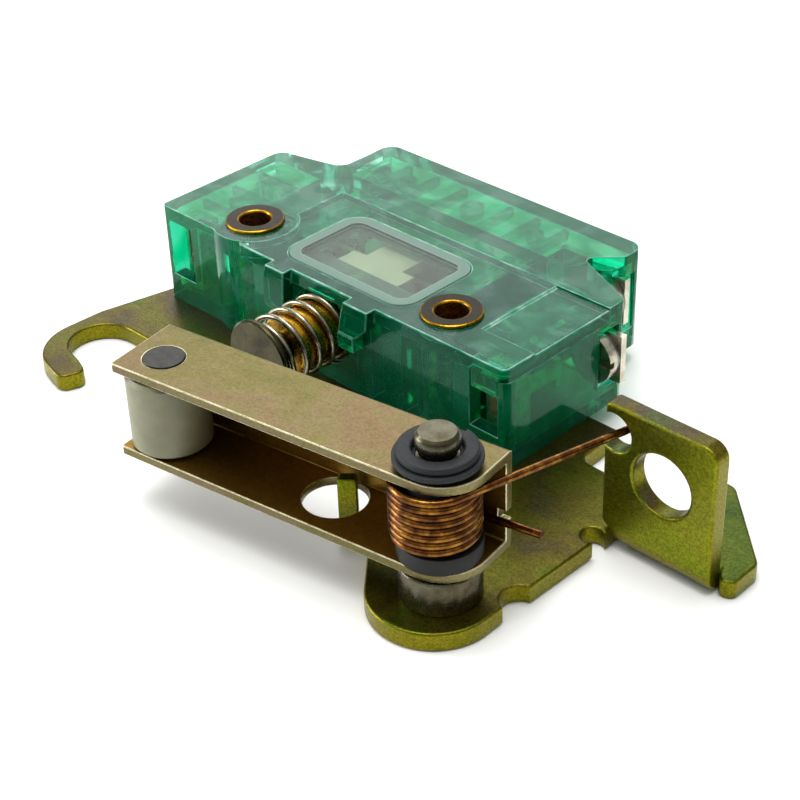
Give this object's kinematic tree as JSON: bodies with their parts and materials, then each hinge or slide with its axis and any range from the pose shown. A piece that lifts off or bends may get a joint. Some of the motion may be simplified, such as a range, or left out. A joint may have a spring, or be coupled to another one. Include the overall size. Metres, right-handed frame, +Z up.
{
  "type": "micro switch",
  "caption": "Enclosed snap switch with a sprung plunger on a bent steel plate, worked by a pivoted channel lever with an end roller; hook and tab for mounting.",
  "frame": {"origin": "on the lever's pivot axis, at the underside of the base plate", "axes": "+X along the plate from the hook to the tab, +Y from the lever towards the switch case, +Z up along the pivot post"},
  "size_m": [0.1015, 0.0676, 0.0242],
  "materials": {
    "plate_zinc": "satin",
    "lever_zinc": "satin",
    "steel": "satin",
    "black_steel": "satin",
    "black_bush": "matte",
    "spring_copper": "satin",
    "spring_steel": "satin",
    "roller_plastic": "matte",
    "housing_green": "gloss",
    "window_clear": "gloss",
    "eyelet_brass": "satin",
    "brass": "satin",
    "carrier_cream": "matte",
    "bridge_copper": "satin",
    "contact_silver": "satin",
    "terminal_nickel": "satin"
  },
  "bodies": {
    "base": {"base_plate": "plate_zinc", "pivot_post": "steel", "pivot_washer": "steel", "retaining_ring": "black_steel", "spring_bush": "black_bush", "torsion_spring": "spring_copper", "housing_base": "housing_green", "housing_cover": "housing_green", "cover_window": "window_clear", "eyelet_left": "eyelet_brass", "eyelet_right": "eyelet_brass", "plunger_bush": "brass", "plunger_spring": "spring_steel", "contact_springs": "spring_steel", "front_terminal_right": "terminal_nickel", "front_terminal_left": "terminal_nickel", "rear_terminal_right": "terminal_nickel", "rear_terminal_left": "terminal_nickel", "fixed_contacts": "contact_silver", "terminal_screws": "terminal_nickel", "clamp_washers": "terminal_nickel"},
    "lever": {"lever": "lever_zinc", "roller_pin": "steel"},
    "roller": {"roller": "roller_plastic"},
    "plunger": {"plunger": "steel", "contact_carrier": "carrier_cream"},
    "bridge": {"contact_bridge": "bridge_copper", "moving_contacts": "contact_silver"}
  },
  "joints": [
    {"name": "lever_swing", "type": "hinge", "parent": "base", "child": "lever", "pos_m": [0, 0, 0.0135], "axis": [0, 0, -1], "range_deg": [0, 16.5], "stiffness_Nm_per_rad": 0.12, "springref_deg": -20.05, "deforming": ["torsion_spring"]},
    {"name": "roller_spin", "type": "hinge", "parent": "lever", "child": "roller", "pos_m": [-0.03841, -0.00615, 0.0135], "axis": [0, 0, 1], "continuous": true},
    {"name": "plunger_slide", "type": "slide", "parent": "base", "child": "plunger", "axis": [0, 1, 0], "range_m": [0, 0.0018], "deforming": ["plunger_spring"]},
    {"name": "bridge_slide", "type": "slide", "parent": "base", "child": "bridge", "axis": [0, 1, 0], "range_m": [0, 0.0022], "deforming": ["contact_springs"]}
  ],
  "couplings": [
    {"joint": "plunger_slide", "follows": "lever_swing", "m_per_rad": 0.006},
    {"joint": "bridge_slide", "follows": "lever_swing", "m_per_rad": 0.0073}
  ]
}
